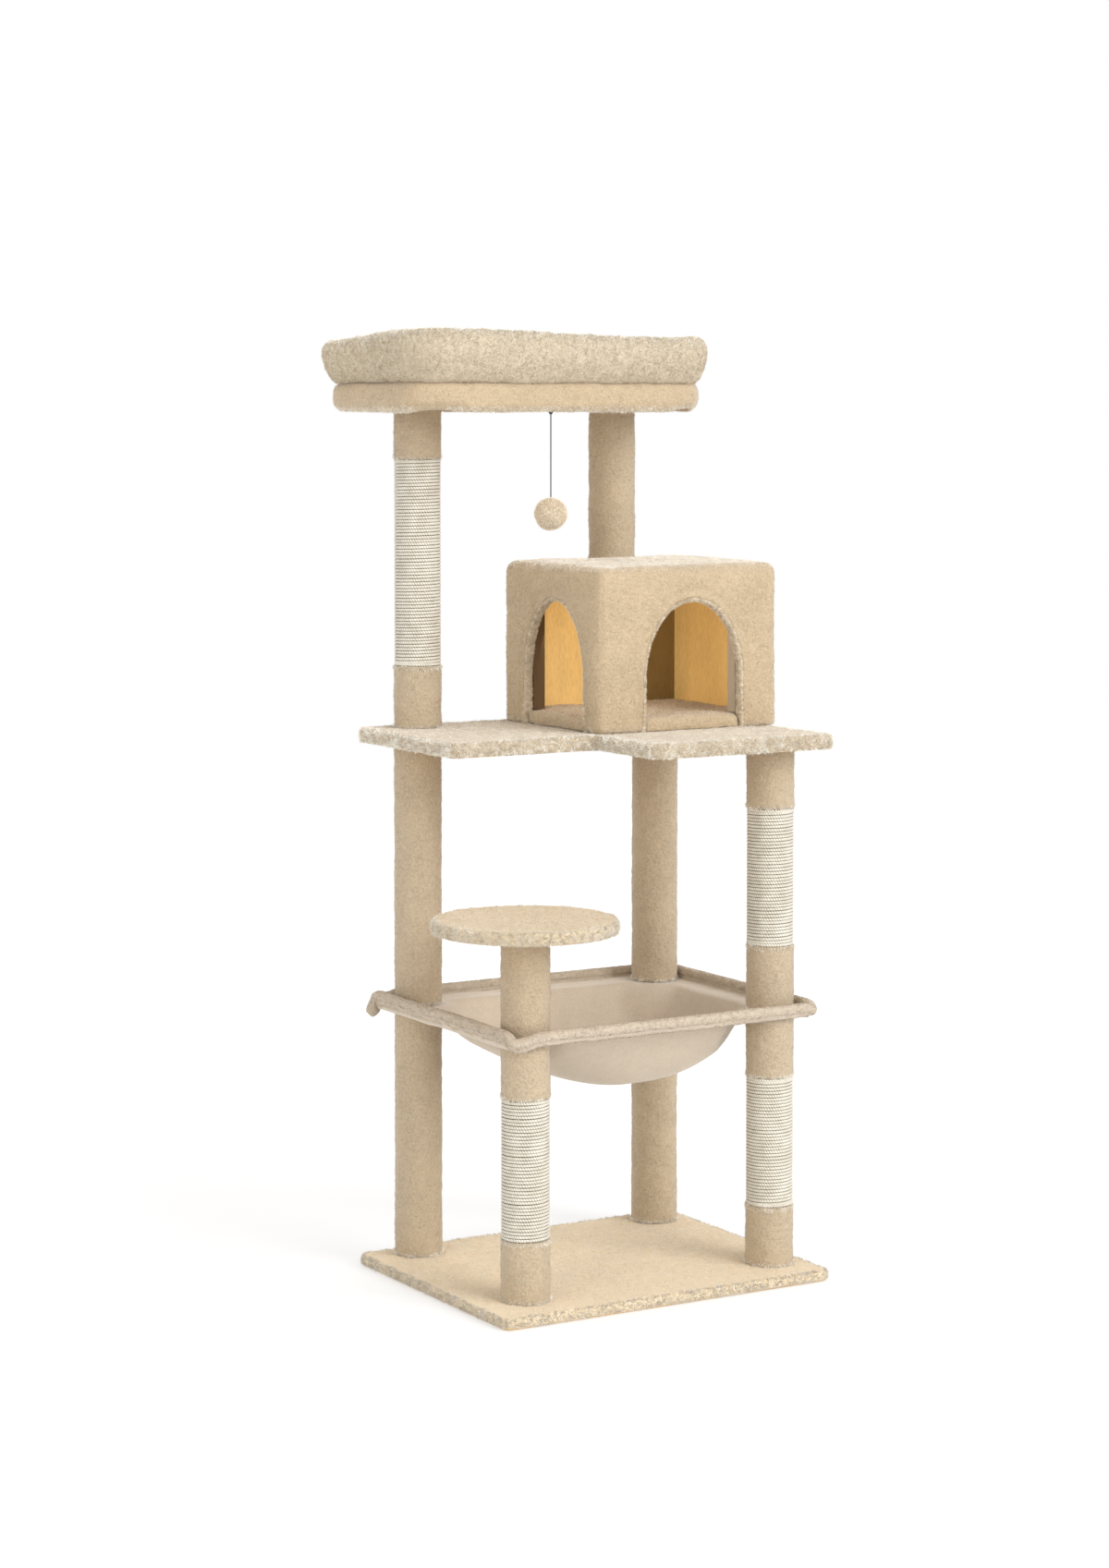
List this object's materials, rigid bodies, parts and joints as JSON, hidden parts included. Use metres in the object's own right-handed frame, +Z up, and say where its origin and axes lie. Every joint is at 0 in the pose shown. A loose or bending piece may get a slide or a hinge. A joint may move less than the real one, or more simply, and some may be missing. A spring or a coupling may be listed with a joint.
{
  "type": "cat tree",
  "caption": "Tall cat tree with a padded bed on top, an arched two-door cave, a round step, a hammock between posts and a hanging pompom.",
  "frame": {"origin": "centre of the base's underside, on the floor", "axes": "+Z up, +X to the right along the long front edge of the base, +Y to the back"},
  "size_m": [0.645, 0.6485, 1.467],
  "materials": {
    "plush": "short warm beige plush",
    "plush_pale": "paler, longer beige plush",
    "sisal": "twisted natural rope, wound",
    "wood": "bare fibreboard",
    "card": "wound cardboard",
    "steel": "zinc plated",
    "black": "satin black"
  },
  "bodies": {
    "tree": {"base_board": "wood", "base_cover": "plush", "base_bolt_a": "steel", "base_bolt_b": "steel", "base_bolt_c": "steel", "base_bolt_d": "steel", "post_a_lower_tube": "card", "post_a_lower_plush": "plush", "post_b_lower_tube": "card", "post_b_lower_plush_low": "plush", "post_b_lower_sisal": "sisal", "post_b_lower_plush_high": "plush", "post_c_lower_tube": "card", "post_c_lower_plush": "plush", "post_d_lower_tube": "card", "post_d_lower_plush_low": "plush", "post_d_lower_sisal": "sisal", "post_d_lower_plush_high": "plush", "post_a_middle_tube": "card", "post_a_middle_plush": "plush", "post_b_upper_tube": "card", "post_b_upper_plush": "plush", "post_c_upper_tube": "card", "post_c_upper_plush": "plush", "post_d_upper_tube": "card", "post_d_upper_plush_low": "plush", "post_d_upper_sisal": "sisal", "post_d_upper_plush_high": "plush", "post_a_upper_tube": "card", "post_a_upper_plush_low": "plush", "post_a_upper_sisal": "sisal", "post_a_upper_plush_high": "plush", "post_e_tube": "card", "post_e_plush": "plush", "hammock": "plush", "step_board": "wood", "step_cover": "plush", "mid_board": "wood", "mid_cover": "plush", "cave_cover": "plush", "cave_wall_front": "wood", "cave_wall_back": "wood", "cave_wall_left": "wood", "cave_wall_right": "wood", "cave_roof": "wood", "cave_pad": "plush", "cave_batten_front": "wood", "cave_batten_left": "wood", "cave_roof_bolt": "steel", "door_trim_front": "plush_pale", "door_trim_left": "plush_pale", "bed_board": "wood", "bed_cover": "plush", "bed_pad": "plush", "bed_bolster": "plush_pale", "toy_stud": "steel", "toy_barrel": "black"},
    "toy_line": {"toy_cord": "black"},
    "toy_ball": {"toy_pompom": "plush_pale"}
  },
  "joints": [
    {"name": "toy_swing", "type": "hinge", "parent": "tree", "child": "toy_line", "pos_m": [-0.025, 0.085, 1.3357], "axis": [1, 0, 0], "range_deg": [-50, 50]},
    {"name": "toy_bob", "type": "hinge", "parent": "toy_line", "child": "toy_ball", "pos_m": [-0.025, 0.085, 1.206], "axis": [0, 1, 0], "range_deg": [-50, 50]}
  ]
}
